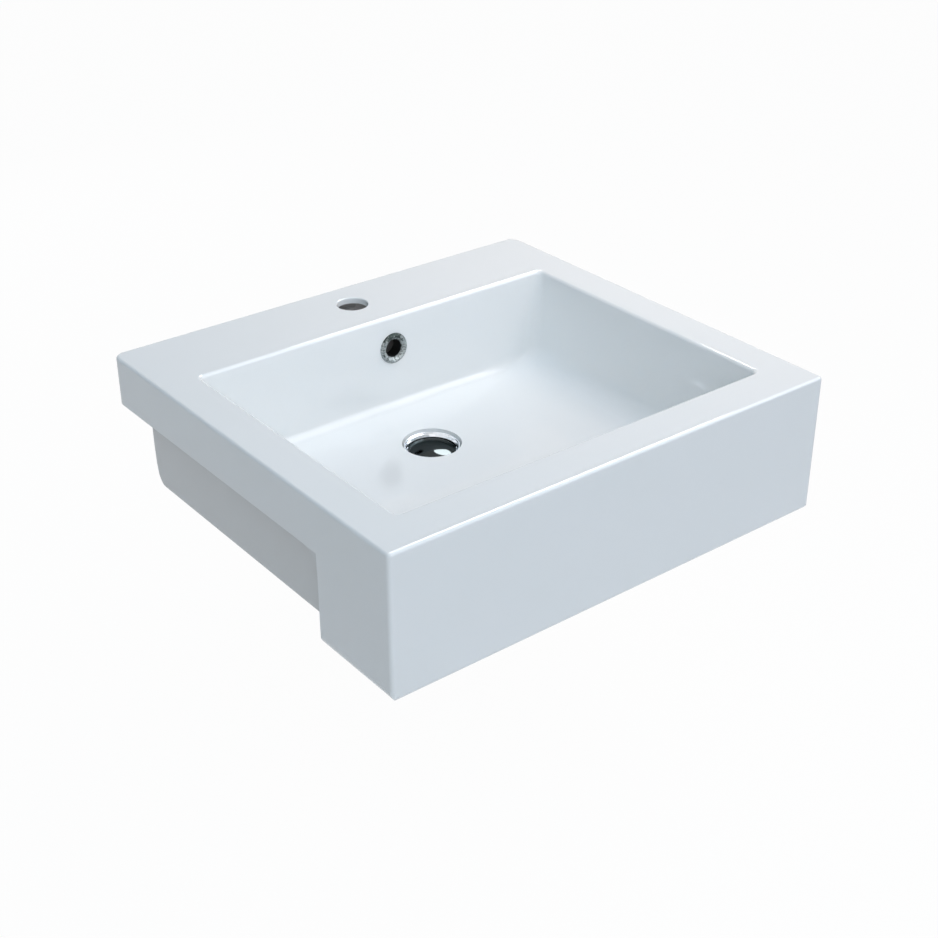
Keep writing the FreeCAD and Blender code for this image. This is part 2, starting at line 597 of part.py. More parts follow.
def guide_bush():
    """Flanged bush at the top of the barrel: the stem's bearing and the slider's upper stop."""
    bore_r = STEM_R + RUNNING
    fit_r = CARTRIDGE_BORE_R - RUNNING
    return turned([(bore_r, BUSH_LOW_Z, 0), (fit_r, BUSH_LOW_Z, 0), (fit_r, CARTRIDGE_TOP_Z, 0),
                   (CARTRIDGE_R, CARTRIDGE_TOP_Z, 0), (CARTRIDGE_R, BUSH_TOP_Z, 0), (bore_r, BUSH_TOP_Z, 0)])


def tangent_arc(start, corner, end):
    """Arc from start to end, tangent at both to the lines that meet in the corner between them."""
    chord_middle = (start + end) / 2
    rise = corner - chord_middle
    slope = math.atan2(rise.Length, (end - start).Length / 2)
    return Part.Arc(start, chord_middle + rise * (math.tan(slope / 2) / math.tan(slope)), end).toShape()


def coil_path(radius, low, high, turns):
    """Rising coil about Z, each half turn a pair of arcs that run on smoothly."""
    climb = (high - low) / turns

    def place(angle):
        return point(radius * math.cos(angle), radius * math.sin(angle), low + climb * angle / (2 * math.pi))

    def heading(angle):
        return point(-radius * math.sin(angle), radius * math.cos(angle), climb / (2 * math.pi)).normalize()

    arcs = []
    for half_turn in range(2 * turns):
        angle, next_angle = half_turn * math.pi, (half_turn + 1) * math.pi
        start, end = place(angle), place(next_angle)
        leave, arrive = heading(angle), heading(next_angle)
        span = end - start
        along = span.dot(leave + arrive)
        bend = 2 * (1 - leave.dot(arrive))
        reach = (math.sqrt(along ** 2 + bend * span.dot(span)) - along) / bend
        corner, next_corner = start + leave * reach, end - arrive * reach
        meeting = (corner + next_corner) / 2
        arcs += [tangent_arc(start, corner, meeting), tangent_arc(meeting, next_corner, end)]
    return Part.Wire(arcs), heading(0)


def cartridge_spring():
    """Coil spring between the barrel's floor and the slider, one unbroken wire."""
    radius = SLIDER_R - 2 * SPRING_WIRE_R
    low = SPRING_LOW_Z + SPRING_WIRE_R + RUNNING
    high = SLIDER_LOW_Z - SPRING_WIRE_R - RUNNING
    path, heading = coil_path(radius, low, high, SPRING_TURNS)
    section = Part.Wire([Part.makeCircle(SPRING_WIRE_R, point(radius, 0, low), heading)])
    print(f"spring: {(high - low) / SPRING_TURNS - 2 * SPRING_WIRE_R:.2f} mm between turns")
    coil = path.makePipeShell([section], True, False)
    coil.translate(WASTE_AXIS)
    return coil


def plug_slider():
    """Keyed slider that rides on the spring and carries the stem's pin."""
    keys = cross_bar(SLIDER_R + KEY_PROUD, KEY_WIDTH, SLIDER_LOW_Z, SLIDER_TOP_Z)
    body = disc(SLIDER_R, SLIDER_LOW_Z, SLIDER_TOP_Z).fuse(keys)
    return body.cut(disc(STEM_PIN_R + RUNNING, SLIDER_LOW_Z, SLIDER_TOP_Z)).removeSplitter()


# ================================================================ plug
def plug_stem():
    """Turned stem: threaded top, guided shank, thin pin through the slider and its riveted head."""
    top = CAP_UNDER_Z + STEM_ENGAGE
    shoulder = SLIDER_TOP_Z + RUNNING
    head_high = SLIDER_LOW_Z - RUNNING
    return turned([(0, top, 0), (STEM_R, top, 0), (STEM_R, shoulder, 0), (STEM_PIN_R, shoulder, 0),
                   (STEM_PIN_R, head_high, 0), (STEM_HEAD_R, head_high, 0),
                   (STEM_HEAD_R, head_high - STEM_HEAD, 0), (0, head_high - STEM_HEAD, 0)])


def plug_cap():
    """Domed cap with a turned-down edge and a threaded socket."""
    edge_low = CAP_UNDER_Z - PLUG_SKIRT
    edge_high = edge_low + PLUG_EDGE
    apex = edge_high + PLUG_DOME
    shoulder_r = PLUG_R - PLUG_CHAMFER
    dome_r = (shoulder_r ** 2 + PLUG_DOME ** 2) / (2 * PLUG_DOME)
    half_angle = math.asin(shoulder_r / dome_r) / 2
    middle = point(dome_r * math.sin(half_angle), 0, apex - dome_r * (1 - math.cos(half_angle)))
    run = [point(0, 0, apex), point(0, 0, CAP_UNDER_Z), point(PLUG_R - PLUG_RIM, 0, CAP_UNDER_Z),
           point(PLUG_R - PLUG_RIM, 0, edge_low), point(shoulder_r, 0, edge_low),
           point(PLUG_R, 0, edge_low + PLUG_CHAMFER), point(PLUG_R, 0, edge_high - PLUG_CHAMFER),
           point(shoulder_r, 0, edge_high)]
    edges = [Part.LineSegment(start, end).toShape() for start, end in zip(run, run[1:])]
    edges.append(Part.Arc(run[-1], middle, run[0]).toShape())
    cap = Part.Face(Part.Wire(edges)).revolve(point(0, 0, 0), UP, 360)
    cap.translate(WASTE_AXIS)
    return cap.cut(disc(STEM_R + RUNNING, CAP_UNDER_Z, CAP_UNDER_Z + STEM_ENGAGE + EASY))


def plug_seal():
    """Rubber ring whose foot presses on the flange and whose web is clamped under the cap."""
    foot_r = PLUG_SEAL_R - PLUG_SEAL_FOOT
    hole = STEM_R + EASY
    return turned([(hole, CAP_UNDER_Z, 0), (hole, WEB_LOW_Z, 0), (foot_r, WEB_LOW_Z, 0),
                   (foot_r, PLUG_SEAT_Z, 0), (PLUG_SEAL_R, PLUG_SEAT_Z, 0),
                   (PLUG_SEAL_R, CAP_UNDER_Z, 0)])


def seal_clamp():
    """Thin disc that clamps the seal's web."""
    return tube(STEM_R + EASY, CLAMP_R, CLAMP_LOW_Z, WEB_LOW_Z)


def plug_nut():
    """Nut that locks disc, seal and cap on the stem."""
    nut = hexagon(2 * (STEM_R + PLUG_NUT_WALL), PLUG_NUT_LOW_Z, CLAMP_LOW_Z)
    return nut.cut(disc(STEM_R + RUNNING, PLUG_NUT_LOW_Z, CLAMP_LOW_Z))


# ================================================================ export
SUB_PARTS = (ceramic_basin, overflow_ring, overflow_grip, waste_body, flange_gasket, tail_seal, slip_washer,
             backnut, cartridge_housing, cartridge_locknut, guide_bush, cartridge_spring, plug_slider,
             plug_stem, plug_cap, plug_seal, seal_clamp, plug_nut)


def main():
    """Builds every sub-part and writes one file for each."""
    os.makedirs("parts", exist_ok=True)
    for build in SUB_PARTS:
        shape = build()
        print(f"{build.__name__}: {len(shape.Solids)} solid, {shape.Volume / 1000:.2f} cm3, "
              f"valid {shape.isValid()}")
        shape.exportStep(f"parts/{build.__name__}.step")


main()
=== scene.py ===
"""Semi recessed basin: fine shapes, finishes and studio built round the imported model.

Sizes in the classes are millimetres and angles degrees; the meshes are metres.
X runs to the right of a person who faces the wall, Y runs to the wall, Z is up.
"""
import logging
import math
from dataclasses import dataclass, field
from enum import Enum

import bmesh
import bpy
from mathutils import Matrix, Vector


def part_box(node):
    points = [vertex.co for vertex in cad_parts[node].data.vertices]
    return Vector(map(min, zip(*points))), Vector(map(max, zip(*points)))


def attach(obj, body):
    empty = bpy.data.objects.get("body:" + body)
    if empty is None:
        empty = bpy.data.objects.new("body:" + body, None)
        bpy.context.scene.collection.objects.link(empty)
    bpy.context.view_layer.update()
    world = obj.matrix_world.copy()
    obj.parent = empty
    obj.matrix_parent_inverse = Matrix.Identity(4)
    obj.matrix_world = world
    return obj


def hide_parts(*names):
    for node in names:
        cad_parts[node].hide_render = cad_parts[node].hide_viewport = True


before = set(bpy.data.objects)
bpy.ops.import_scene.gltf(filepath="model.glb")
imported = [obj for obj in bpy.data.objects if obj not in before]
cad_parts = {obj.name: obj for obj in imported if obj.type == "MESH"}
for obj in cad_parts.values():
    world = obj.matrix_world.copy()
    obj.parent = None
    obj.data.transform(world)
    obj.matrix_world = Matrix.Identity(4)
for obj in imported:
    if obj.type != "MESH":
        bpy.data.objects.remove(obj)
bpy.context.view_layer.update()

MM = 0.001
LOG = logging.getLogger("basin")

Tree = bpy.types.NodeTree
Node = bpy.types.Node
Socket = bpy.types.NodeSocket
Point = tuple[float, float, float]
Span = tuple[float, float]

WHITE = (1.0, 1.0, 1.0, 1.0)
WAVE_RADIANS = 20            # a wave texture turns this far over one unit of its scale
ON_AXIS = 1e-9               # points this near to the axis, in metres, lie on it
SAME_PLACE = 1e-7            # points this near to each other, in metres, are one
ON_CORNER_MM = 1e-3          # a ring's edges lie this near to the corner that they came from
ROUNDING_SEGMENTS = 4        # of a turned corner
EASING_SEGMENTS = 2          # of a bar's edge


class Body(Enum):
    """Rigid bodies that the new pieces ride on."""

    BASIN = "basin"
    PLUG = "plug"


class Slot(Enum):
    """The record's finishes named for the new pieces; nothing reads them."""

    RING_CHROME = "ring_chrome"
    WASTE_CHROME = "waste_chrome"


class LampShape(Enum):
    """Outlines of the studio's lamps."""

    SQUARE = "SQUARE"
    DISK = "DISK"


class LampUse(Enum):
    """What a lamp is for: it lights things and never shows in them, or it only shows in them."""

    LIGHT = "light"
    REFLECTION = "reflection"


# ---------------------------------------------------------------- colours and nodes
def linear(hex_colour: str) -> tuple[float, float, float, float]:
    """Turn an sRGB hex colour into linear light.

    Args:
        hex_colour: Colour such as "#eef1f3".

    Returns:
        Red, green, blue and an alpha of one.
    """
    channels = [int(hex_colour[start:start + 2], 16) / 255 for start in (1, 3, 5)]
    light = [c / 12.92 if c <= 0.04045 else ((c + 0.055) / 1.055) ** 2.4 for c in channels]
    return light[0], light[1], light[2], 1.0


def add_node(tree: Tree, kind: str, inputs: dict[int | str, object] | None = None,
             **settings: object) -> Node:
    """Add a shader node, set it and link it.

    Args:
        tree: Tree that takes the node.
        kind: Blender's name of the node type.
        inputs: Socket name or number to a value, or to the output socket that feeds it.
        **settings: Attributes of the node itself.

    Returns:
        The new node.
    """
    made = tree.nodes.new(kind)
    for name, value in settings.items():
        setattr(made, name, value)
    for name, value in (inputs or {}).items():
        if isinstance(value, Socket):
            tree.links.new(value, made.inputs[name])
        else:
            made.inputs[name].default_value = value
    return made


# ---------------------------------------------------------------- finishes
@dataclass(frozen=True)
class Finish:
    """What a surface is made of and how it was worked.

    Attributes:
        name: Material's common name.
        colour: sRGB hex colour.
        roughness: Roughness of the surface.
        metallic: One for a bare metal, zero otherwise.
        ior: Index of refraction; a metal keeps the shader's own.
    """

    name: str
    colour: str
    roughness: float
    metallic: float = 0.0
    ior: float = 1.5

    def material(self) -> bpy.types.Material:
        """Return the finish's material, made once."""
        known = bpy.data.materials.get(self.name)
        if known:
            return known
        made = bpy.data.materials.new(self.name)
        made.use_nodes = True
        tree = made.node_tree
        shader = next(found for found in tree.nodes if found.type == "BSDF_PRINCIPLED")
        shader.inputs["Base Color"].default_value = linear(self.colour)
        shader.inputs["Roughness"].default_value = self.roughness
        shader.inputs["Metallic"].default_value = self.metallic
        if not self.metallic:
            shader.inputs["IOR"].default_value = self.ior
        self.dress(tree, shader)
        return made

    def dress(self, tree: Tree, shader: Node) -> None:
        """Add the surface's own pattern; plain finishes have none.

        Args:
            tree: The material's nodes.
            shader: Its Principled shader.
        """

    @staticmethod
    def place(tree: Tree) -> Node:
        """Say where on the object a point lies.

        Args:
            tree: The material's nodes.

        Returns:
            A node with the outputs X, Y and Z.
        """
        return add_node(tree, "ShaderNodeSeparateXYZ",
                        {0: add_node(tree, "ShaderNodeTexCoord").outputs["Object"]})

    @staticmethod
    def mottle(tree: Tree, size_mm: float, detail: float = 2.0) -> Socket:
        """Make noise whose blotches are about size_mm wide.

        Args:
            tree: The material's nodes.
            size_mm: Width of a blotch in millimetres.
            detail: Octaves of finer noise on top.

        Returns:
            The noise's factor, 0 to 1 about a half.
        """
        spot = add_node(tree, "ShaderNodeTexCoord").outputs["Object"]
        noise = add_node(tree, "ShaderNodeTexNoise",
                         {"Vector": spot, "Scale": 1.0 / (size_mm * MM), "Detail": detail})
        return noise.outputs[0]

    @staticmethod
    def relief(tree: Tree, shader: Node, height: Socket, depth_mm: float) -> None:
        """Give the surface a fine relief.

        Args:
            tree: The material's nodes.
            shader: Shader whose normal is bent.
            height: Height pattern, 0 to 1.
            depth_mm: Real height of the relief in millimetres.
        """
        bump = add_node(tree, "ShaderNodeBump",
                        {"Height": height, "Strength": 1.0, "Distance": depth_mm * MM})
        tree.links.new(bump.outputs["Normal"], shader.inputs["Normal"])


@dataclass(frozen=True)
class VitreousChina(Finish):
    """Cast china under a fired clear glaze: a hard white gloss, a little wavy like still water.

    The body that hangs under the worktop is mixed to a greyer tone: painted shade under the rim's
    overhang. The faces that stand on the worktop and against the wall are wiped clean of glaze
    before firing, and the hollow deck gets none, so they show the matt, grey body of the china; in
    the hollow deck that grey is darker than the real body, a painted shade.
    """

    name: str = "vitreous_china_glaze"
    colour: str = "#eff1f2"
    thin_glaze: str = "#ecefef"
    # Painted shade: the greyer tone of the body under the worktop stands in for the rim's shadow.
    under_rim_shade_colour: str = "#d3d5d5"
    # Matt grey of the bare china body; in the hollow deck it is darker than the real body, a
    # painted shade.
    biscuit_and_hollow_shade: str = "#b6b3b2"
    roughness: float = 0.07
    biscuit_roughness: float = 0.75
    ior: float = 1.52
    tone_mm: float = 90.0        # its tone changes over about this width
    wave_mm: float = 60.0        # it runs in waves about this wide
    wave_height_mm: float = 0.03
    wiped_mm: float = 0.35       # depth of the wiped faces' skin
    seat_normal: float = -0.9    # a face that looks down more than this is a seat
    worktop_mm: Span = (0.5, -1.5)           # heights over which the painted shade under the rim sets in
    body_side_mm: float = 228.0  # the bowl's own walls are further in
    apron_back_mm: float = -385.5
    hollow_mm: Point = (258.0, -90.0, 47.6)  # half width, front and top of the hollow deck

    def dress(self, tree: Tree, shader: Node) -> None:
        """Add the glaze's waves, its faint change of tone, the painted shade under the rim and the
        bare places.

        Args:
            tree: The material's nodes.
            shader: Its Principled shader.
        """
        glaze = add_node(tree, "ShaderNodeMix",
                         {0: self.mottle(tree, self.tone_mm), 6: linear(self.thin_glaze),
                          7: linear(self.colour)}, data_type="RGBA")
        # Painted shade: the body under the worktop is mixed to a greyer tone.
        under_rim_shaded = add_node(tree, "ShaderNodeMix",
                        {0: self.under_rim_shade_mask(tree), 6: glaze.outputs[2],
                         7: linear(self.under_rim_shade_colour)}, data_type="RGBA")
        # Bare faces: the wiped wall face and worktop seat, and the hollow deck, where the grey is
        # also painted shade.
        wiped = self.bare_and_shaded_faces(tree)
        skin = add_node(tree, "ShaderNodeMix",
                        {0: wiped, 6: under_rim_shaded.outputs[2], 7: linear(self.biscuit_and_hollow_shade)}, data_type="RGBA")
        gloss = add_node(tree, "ShaderNodeMapRange",
                         {"Value": wiped, "To Min": self.roughness,
                          "To Max": self.biscuit_roughness})
        tree.links.new(skin.outputs[2], shader.inputs["Base Color"])
        tree.links.new(gloss.outputs[0], shader.inputs["Roughness"])
        self.relief(tree, shader, self.mottle(tree, self.wave_mm, 1.0), self.wave_height_mm)

    def under_rim_shade_mask(self, tree: Tree) -> Socket:
        """Return one where shade is painted on the body under the worktop, zero on rim, bowl and
        apron.

        Args:
            tree: The material's nodes.

        Returns:
            The mask.
        """
        place = self.place(tree)
        across = add_node(tree, "ShaderNodeMath", {0: place.outputs["X"]}, operation="ABSOLUTE")
        below = add_node(tree, "ShaderNodeMapRange",
                         {"Value": place.outputs["Z"], "From Min": self.worktop_mm[0] * MM,
                          "From Max": self.worktop_mm[1] * MM})
        outside = add_node(tree, "ShaderNodeMath",
                           {0: across.outputs[0], 1: self.body_side_mm * MM},
                           operation="GREATER_THAN")
        behind = add_node(tree, "ShaderNodeMath",
                          {0: place.outputs["Y"], 1: self.apron_back_mm * MM},
                          operation="GREATER_THAN")
        side = add_node(tree, "ShaderNodeMath", {0: outside.outputs[0], 1: behind.outputs[0]},
                        operation="MULTIPLY")
        both = add_node(tree, "ShaderNodeMath", {0: below.outputs[0], 1: side.outputs[0]},
                        operation="MULTIPLY")
        return both.outputs[0]

    def bare_and_shaded_faces(self, tree: Tree) -> Socket:
        """Return one on the wall face, the worktop seat and in the hollow deck, zero elsewhere; the
        hollow deck's grey is partly painted shade.

        Args:
            tree: The material's nodes.

        Returns:
            The mask.
        """
        skin = self.wiped_mm * MM
        place = self.place(tree)
        facing = add_node(tree, "ShaderNodeSeparateXYZ",
                          {0: add_node(tree, "ShaderNodeTexCoord").outputs["Normal"]})
        wall = add_node(tree, "ShaderNodeMath", {0: place.outputs["Y"], 1: -skin},
                        operation="GREATER_THAN")
        level = add_node(tree, "ShaderNodeMath", {0: place.outputs["Z"], 1: 0.0, 2: skin},
                         operation="COMPARE")
        down = add_node(tree, "ShaderNodeMath", {0: facing.outputs["Z"], 1: self.seat_normal},
                        operation="LESS_THAN")
        seat = add_node(tree, "ShaderNodeMath", {0: level.outputs[0], 1: down.outputs[0]},
                        operation="MULTIPLY")
        both = add_node(tree, "ShaderNodeMath", {0: wall.outputs[0], 1: seat.outputs[0]},
                        operation="MAXIMUM")
        half_width, front, top = (side * MM for side in self.hollow_mm)
        across = add_node(tree, "ShaderNodeMath", {0: place.outputs["X"]}, operation="ABSOLUTE")
        within = add_node(tree, "ShaderNodeMath", {0: across.outputs[0], 1: half_width},
                          operation="LESS_THAN")
        under = add_node(tree, "ShaderNodeMath", {0: place.outputs["Z"], 1: top},
                         operation="LESS_THAN")
        behind = add_node(tree, "ShaderNodeMath", {0: place.outputs["Y"], 1: front},
                          operation="GREATER_THAN")
        room = add_node(tree, "ShaderNodeMath", {0: within.outputs[0], 1: under.outputs[0]},
                        operation="MULTIPLY")
        # Painted shade: the hollow deck takes the grey of the bare body, darkening the recess.
        hollow = add_node(tree, "ShaderNodeMath", {0: room.outputs[0], 1: behind.outputs[0]},
                          operation="MULTIPLY")
        bare = add_node(tree, "ShaderNodeMath", {0: both.outputs[0], 1: hollow.outputs[0]},
                        operation="MAXIMUM")
        return bare.outputs[0]


@dataclass(frozen=True)
class Chrome(Finish):
    """Bright chrome plate: a bluish mirror whose plating follows the polish marks beneath."""

    name: str = "chrome_plated_brass"
    colour: str = "#e8ecef"
    roughness: float = 0.06
    metallic: float = 1.0
    wave_mm: float = 6.0
    wave_height_mm: float = 0.006
    edge_tint: str = "#ffffff"   # how much of the mirror is left at a glancing angle

    def dress(self, tree: Tree, shader: Node) -> None:
        """Add the tint of glancing light and the slow waves of a polished and plated surface."""
        shader.inputs["Specular Tint"].default_value = linear(self.edge_tint)
        self.relief(tree, shader, self.mottle(tree, self.wave_mm), self.wave_height_mm)


@dataclass(frozen=True)
class PittedChrome(Chrome):
    """Thin chrome on moulded ABS: dull grey pits in a satin skin, and painted shade that darkens
    the upper crest.
    """

    name: str = "chrome_plated_abs"
    colour: str = "#b2b9ba"
    pit_and_crest_shade_colour: str = "#3f4745"
    roughness: float = 0.62
    wave_mm: float = 1.6
    wave_height_mm: float = 0.05
    pit_mm: float = 2.2          # real pits are finer; drawn as coarse as they need to show
    pit_detail: float = 3.0
    pit_edge: Span = (0.46, 0.70)  # noise at which a pit begins and where it is full
    crest_shade_mm: Span = field(kw_only=True)  # heights over which the painted shade on the crest closes in
    crest_shade_share: float = 0.26     # painted shade that the crest adds to the noise

    def dress(self, tree: Tree, shader: Node) -> None:
        """Add the pits and the painted shade on the upper crest to the plating's waves.

        Args:
            tree: The material's nodes.
            shader: Its Principled shader.
        """
        super().dress(tree, shader)
        place = self.place(tree)
        # Painted shade: the pits close up towards the upper crest, darkening it.
        crest = add_node(tree, "ShaderNodeMapRange",
                         {"Value": place.outputs["Z"], "From Min": self.crest_shade_mm[0] * MM,
                          "From Max": self.crest_shade_mm[1] * MM, "To Max": self.crest_shade_share})
        crest_shade_rise = add_node(tree, "ShaderNodeMath",
                        {0: self.mottle(tree, self.pit_mm, self.pit_detail), 1: crest.outputs[0]},
                        operation="ADD")
        pits = add_node(tree, "ShaderNodeMapRange",
                        {"Value": crest_shade_rise.outputs[0], "From Min": self.pit_edge[0],
                         "From Max": self.pit_edge[1]})
        skin = add_node(tree, "ShaderNodeMix",
                        {0: pits.outputs[0], 6: linear(self.colour), 7: linear(self.pit_and_crest_shade_colour)},
                        data_type="RGBA")
        tree.links.new(skin.outputs[2], shader.inputs["Base Color"])


@dataclass(frozen=True)
class TurnedBrass(Finish):
    """Bare free-cutting brass with the fine rings that a lathe leaves and dull spots of tarnish."""

    name: str = "turned_brass"
    colour: str = "#bb9b62"
    tarnish: str = "#957a4b"
    roughness: float = 0.28
    metallic: float = 1.0
    spot_mm: float = 7.0
    spot_detail: float = 4.0
    ring_radian_mm: float = 0.5  # rings 3.1 mm apart; real ones are finer, but wouldn't show
    ring_wobble: float = 0.4
    ring_height_mm: float = 0.006

    def dress(self, tree: Tree, shader: Node) -> None:
        """Add the tool's rings and the tarnish.

        Args:
            tree: The material's nodes.
            shader: Its Principled shader.
        """
        spots = add_node(tree, "ShaderNodeMix",
                         {0: self.mottle(tree, self.spot_mm, self.spot_detail),
                          6: linear(self.tarnish), 7: linear(self.colour)}, data_type="RGBA")
        tree.links.new(spots.outputs[2], shader.inputs["Base Color"])
        spot = add_node(tree, "ShaderNodeTexCoord").outputs["Object"]
        scale = 1.0 / (self.ring_radian_mm * MM) / WAVE_RADIANS
        rings = add_node(tree, "ShaderNodeTexWave",
                         {"Vector": spot, "Scale": scale, "Distortion": self.ring_wobble},
                         wave_type="BANDS", bands_direction="Z")
        self.relief(tree, shader, rings.outputs[1], self.ring_height_mm)


@dataclass(frozen=True)
class Moulded(Finish):
    """Moulded rubber or plastic with a faint eroded grain from its mould."""

    grain_mm: float = 0.4
    grain_height_mm: float = 0.012

    def dress(self, tree: Tree, shader: Node) -> None:
        """Add the mould's grain."""
        self.relief(tree, shader, self.mottle(tree, self.grain_mm), self.grain_height_mm)


# China body under a clear glaze: white, glossy, soft waves in what it mirrors.
GLAZE = VitreousChina()
# The ABS inside the ring's tube takes no plating and stays near black.
BARE_ABS = Moulded(name="bare_black_abs", colour="#0d0f10", roughness=0.45, ior=1.54)
# Polished and chromed brass flange: a bright mirror.
WASTE_CHROME = Chrome(colour="#f5f8fc")
# The plug's dome: chrome with a dark base colour and a grey glancing tint, a painted dark
# reflection that stands in for the dark surroundings a chrome dome would mirror.
PAINTED_DARK_CHROME = Chrome(name="chrome_painted_dark_reflection", colour="#3b3f40", roughness=0.05, wave_mm=9.0,
                     edge_tint="#b0b2b2")
# Bare brass nuts, barrel and stem: warm yellow, ringed by the lathe, dull in spots.
BRASS = TurnedBrass()
# Peroxide cured rubber seals: matt, nearly black.
EPDM = Moulded(name="epdm_rubber", colour="#26282a", roughness=0.62, ior=1.52)
# Undyed nylon washer: milky, slightly yellow, half matt.
NYLON = Moulded(name="natural_nylon", colour="#dedbd0", roughness=0.42, ior=1.53)
# Acetal bush and slider: dense white with a waxy gloss.
ACETAL = Moulded(name="white_acetal", colour="#e9e9e6", roughness=0.34, ior=1.48)
# Drawn stainless wire and stamped disc: a grey metal with a satin gloss.
STAINLESS = Chrome(name="bright_drawn_stainless", colour="#b9babb", roughness=0.22, wave_mm=0.8,
                   wave_height_mm=0.004)

CAD_FINISHES: dict[str, Finish] = {
    "ceramic_basin": GLAZE, "overflow_grip": EPDM, "flange_gasket": EPDM, "tail_seal": EPDM,
    "slip_washer": NYLON, "backnut": BRASS, "cartridge_housing": BRASS,
    "cartridge_locknut": BRASS, "guide_bush": ACETAL, "cartridge_spring": STAINLESS,
    "plug_slider": ACETAL, "plug_stem": BRASS, "plug_seal": EPDM, "seal_clamp": STAINLESS,
    "plug_nut": BRASS,
}


# ---------------------------------------------------------------- turned pieces
@dataclass
class Outline:
    """Outline of a turned piece: corners with their roundings, and arcs as runs of points."""

    corners: list[Point] = field(default_factory=list)

    def to(self, radius: float, height: float, rounding: float = 0.0) -> "Outline":
        """Run straight on to a corner.

        Args:
            radius: Distance from the axis.
            height: Place along the axis.
            rounding: Radius of the corner's rounding.

        Returns:
            The outline itself, so that calls can be chained.
        """
        self.corners.append((radius, height, rounding))
        return self

    def arc(self, middle: Span, radius: float, start: float, end: float,
            steps: int) -> "Outline":
        """Follow an arc.

        Args:
            middle: Radius and height of the arc's centre.
            radius: Radius of the arc.
            start: Angle of its first point, from straight out.
            end: Angle of its last point.
            steps: Straight pieces that it is drawn with.

        Returns:
            The outline itself.
        """
        for step in range(steps + 1):
            angle = math.radians(start + (end - start) * step / steps)
            self.to(middle[0] + radius * math.cos(angle), middle[1] + radius * math.sin(angle))
        return self


class Piece:
    """A hand-built piece: a bmesh about the origin that is carried to its place at the end."""

    def __init__(self, name: str) -> None:
        """Start an empty piece.

        Args:
            name: The piece's name.
        """
        self.name = name
        self.net = bmesh.new()

    def turn(self, outline: Outline, steps: int = 128, angle: float = 360.0, start: float = 0.0,
             lift: float = 0.0) -> None:
        """Spin an outline about Z; a lift per turn makes it a helix.

        Args:
            outline: Closed outline.
            steps: Facets of the whole sweep.
            angle: Sweep.
            start: Angle at which the sweep begins.
            lift: Rise per full turn in millimetres.
        """
        before = set(self.net.verts)
        aim = Matrix.Rotation(math.radians(start), 4, "Z")
        ring = [self.net.verts.new(aim @ Vector((radius * MM, 0, height * MM)))
                for radius, height, _ in outline.corners]
        whole = math.isclose(angle, 360.0) and not lift
        if whole:
            geometry = ring + [self.net.edges.new(pair) for pair in zip(ring, ring[1:] + ring[:1])
                               if max(abs(v.co.x) + abs(v.co.y) for v in pair) > ON_AXIS]
        else:
            geometry = [self.net.faces.new(ring)]
        rise = (0, 0, lift * MM * angle / 360.0 / steps)
        bmesh.ops.spin(self.net, geom=geometry, cent=(0, 0, 0), axis=(0, 0, 1), dvec=rise,
                       angle=math.radians(angle), steps=steps, use_merge=whole)
        made = [vert for vert in self.net.verts if vert not in before]
        bmesh.ops.remove_doubles(self.net, verts=made, dist=SAME_PLACE)
        if whole:
            self.round_rings(outline)

    def round_rings(self, outline: Outline) -> None:
        """Bevel the rings that the outline's corners with a rounding have become.

        Args:
            outline: The turned outline.
        """
        for radius, height, rounding in outline.corners:
            if not rounding:
                continue
            ring = [edge for edge in self.net.edges
                    if all(abs(vert.co.z / MM - height) < ON_CORNER_MM
                           and abs(vert.co.xy.length / MM - radius) < ON_CORNER_MM
                           for vert in edge.verts)]
            bmesh.ops.bevel(self.net, geom=ring, offset=rounding * MM, offset_type="OFFSET",
                            segments=ROUNDING_SEGMENTS, profile=0.5, affect="EDGES", material=-1,
                            clamp_overlap=True)

    def bar(self, size: Point, centre: Point, turn: float, rounding: float) -> None:
        """Add a straight bar with eased edges.

        Args:
            size: Length, width and height.
            centre: Its middle before it is turned.
            turn: Angle about Z.
            rounding: Radius of its edges.
        """
        aim = Matrix.Rotation(math.radians(turn), 4, "Z")
        place = aim @ Matrix.Translation(Vector(centre) * MM)
        stretch = Matrix.Diagonal((*[side * MM for side in size], 1.0))
        made = bmesh.ops.create_cube(self.net, size=1.0, matrix=place @ stretch)["verts"]
        edges = list({edge for vert in made for edge in vert.link_edges})
        bmesh.ops.bevel(self.net, geom=edges, offset=rounding * MM, offset_type="OFFSET",
                        segments=EASING_SEGMENTS, profile=0.5, affect="EDGES", material=-1,
                        clamp_overlap=True)

    def finish(self, place: Matrix, body: Body, slot: Slot, finishes: tuple[Finish, ...],
               replaced: str) -> None:
        """Carry the piece to its place, make it an object, hang it on its body and hide the node
        that it stands for.

        Args:
            place: From the origin to the piece's place.
            body: Body that it rides on.
            slot: The record's finish; not used.
            finishes: Its materials.
            replaced: Node that it stands for.
        """
        self.net.transform(place)
        bmesh.ops.recalc_face_normals(self.net, faces=self.net.faces)
        for face in self.net.faces:
            face.smooth = True
        mesh = bpy.data.meshes.new(self.name)
        self.net.to_mesh(mesh)
        self.net.free()
        for finish in finishes:
            mesh.materials.append(finish.material())
        made = bpy.data.objects.new(self.name, mesh)
        bpy.context.scene.collection.objects.link(made)
        made.modifiers.new("weighted_normals", "WEIGHTED_NORMAL")
        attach(made, body.value)
        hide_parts(replaced)
        LOG.info("%s: %d faces, rides on %s", self.name, len(mesh.polygons), body.value)


def node_box(name: str) -> tuple[Vector, Vector]:
    """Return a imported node's lowest and highest corner in millimetres.

    Args:
        name: The node.

    Returns:
        Two corners.
    """
    low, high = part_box(name)
    return low / MM, high / MM


